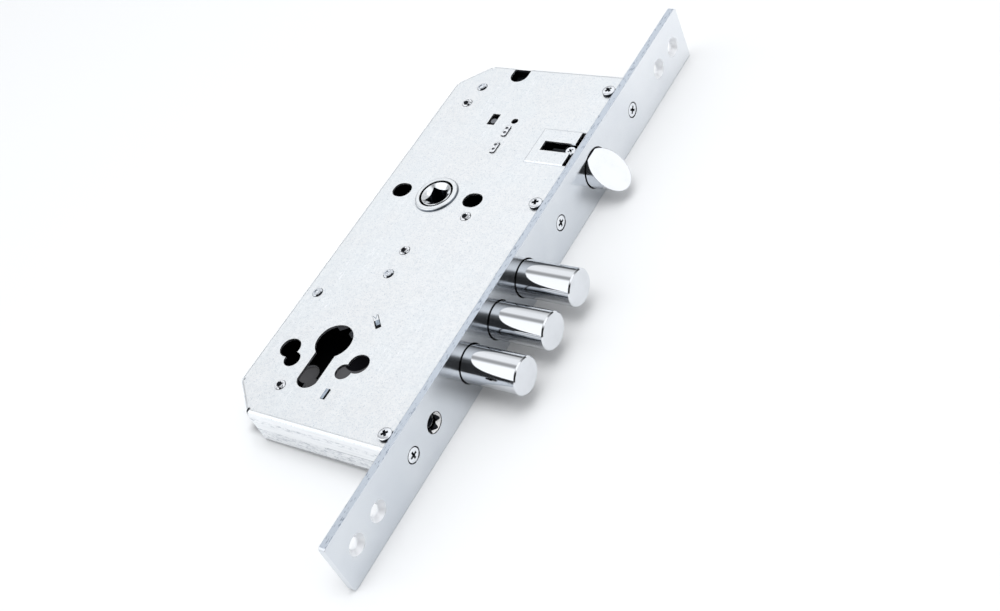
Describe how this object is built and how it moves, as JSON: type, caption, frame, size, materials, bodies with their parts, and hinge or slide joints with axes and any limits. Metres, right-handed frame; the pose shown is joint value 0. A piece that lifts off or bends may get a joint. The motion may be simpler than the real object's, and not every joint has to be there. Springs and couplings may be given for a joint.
{
  "type": "mortise lock body",
  "caption": "Flat steel lock case with a long forend, round deadbolts, a bevelled round latch, a square follower and a profile cylinder hole.",
  "frame": {"origin": "on the follower axis, at mid thickness of the case", "axes": "+X out of the door edge along the throw of the bolts, +Y up the door, +Z out of the face along the handle spindle"},
  "size_m": [0.118, 0.3, 0.028],
  "materials": {
    "case_zinc": "bright zinc plate, fine even grain",
    "forend_steel": "satin stainless steel, brushed lengthwise",
    "bolt_chrome": "polished chrome plate",
    "follower_chrome": "polished nickel plate",
    "screw_steel": "bright zinc plate",
    "post_steel": "staked bright steel",
    "inner_steel": "plain pressed steel, lightly oiled",
    "spring_steel": "drawn spring wire"
  },
  "bodies": {
    "lock_case": {"case_tray": "case_zinc", "cover_plate": "case_zinc", "forend": "forend_steel", "fixing_blocks": "inner_steel", "forend_screws": "screw_steel", "face_screws": "screw_steel", "fixing_screw_bush": "inner_steel", "case_posts": "post_steel", "guide_sleeves": "inner_steel", "stop_lugs": "post_steel", "spring_bracket": "inner_steel", "latch_bracket": "post_steel", "latch_spring": "spring_steel", "follower_spring": "spring_steel", "tumbler_spring": "spring_steel"},
    "bolts": {"deadbolt_top": "bolt_chrome", "deadbolt_middle": "bolt_chrome", "deadbolt_bottom": "bolt_chrome", "bolt_rivets": "inner_steel", "bolt_carriage": "inner_steel", "link_stud": "inner_steel"},
    "tumbler": {"tumbler": "inner_steel"},
    "rod": {"rod_link": "inner_steel", "rod_socket": "inner_steel"},
    "follower": {"follower": "follower_chrome"},
    "plunger": {"follower_plunger": "inner_steel"},
    "latch": {"latch_head": "bolt_chrome", "latch_screw": "screw_steel", "latch_tail": "inner_steel"}
  },
  "joints": [
    {"name": "bolt_throw", "type": "slide", "parent": "lock_case", "child": "bolts", "axis": [1, 0, 0], "range_m": [-0.026, 0]},
    {"name": "tumbler_pivot", "type": "hinge", "parent": "lock_case", "child": "tumbler", "pos_m": [-0.0248, -0.0632, 0], "axis": [0, 0, 1], "range_deg": [-5.1, 0], "stiffness_Nm_per_rad": 0.1, "springref_deg": -17.19},
    {"name": "rod_lift", "type": "slide", "parent": "lock_case", "child": "rod", "axis": [0, 1, 0], "range_m": [-0.011, 0]},
    {"name": "handle_turn", "type": "hinge", "parent": "lock_case", "child": "follower", "pos_m": [0, 0, 0], "axis": [0, 0, 1], "range_deg": [0, 31], "stiffness_Nm_per_rad": 0.8, "springref_deg": -17.19},
    {"name": "latch_slide", "type": "slide", "parent": "lock_case", "child": "latch", "axis": [1, 0, 0], "range_m": [-0.014, 0], "deforming": ["latch_spring"]},
    {"name": "plunger_slide", "type": "slide", "parent": "lock_case", "child": "plunger", "axis": [1, 0, 0], "range_m": [0, 0.0076], "deforming": ["follower_spring"]}
  ],
  "couplings": [
    {"joint": "rod_lift", "follows": "bolt_throw", "ratio": 0.42307},
    {"joint": "latch_slide", "follows": "handle_turn", "m_per_rad": -0.025875},
    {"joint": "plunger_slide", "follows": "handle_turn", "m_per_rad": 0.014045}
  ]
}
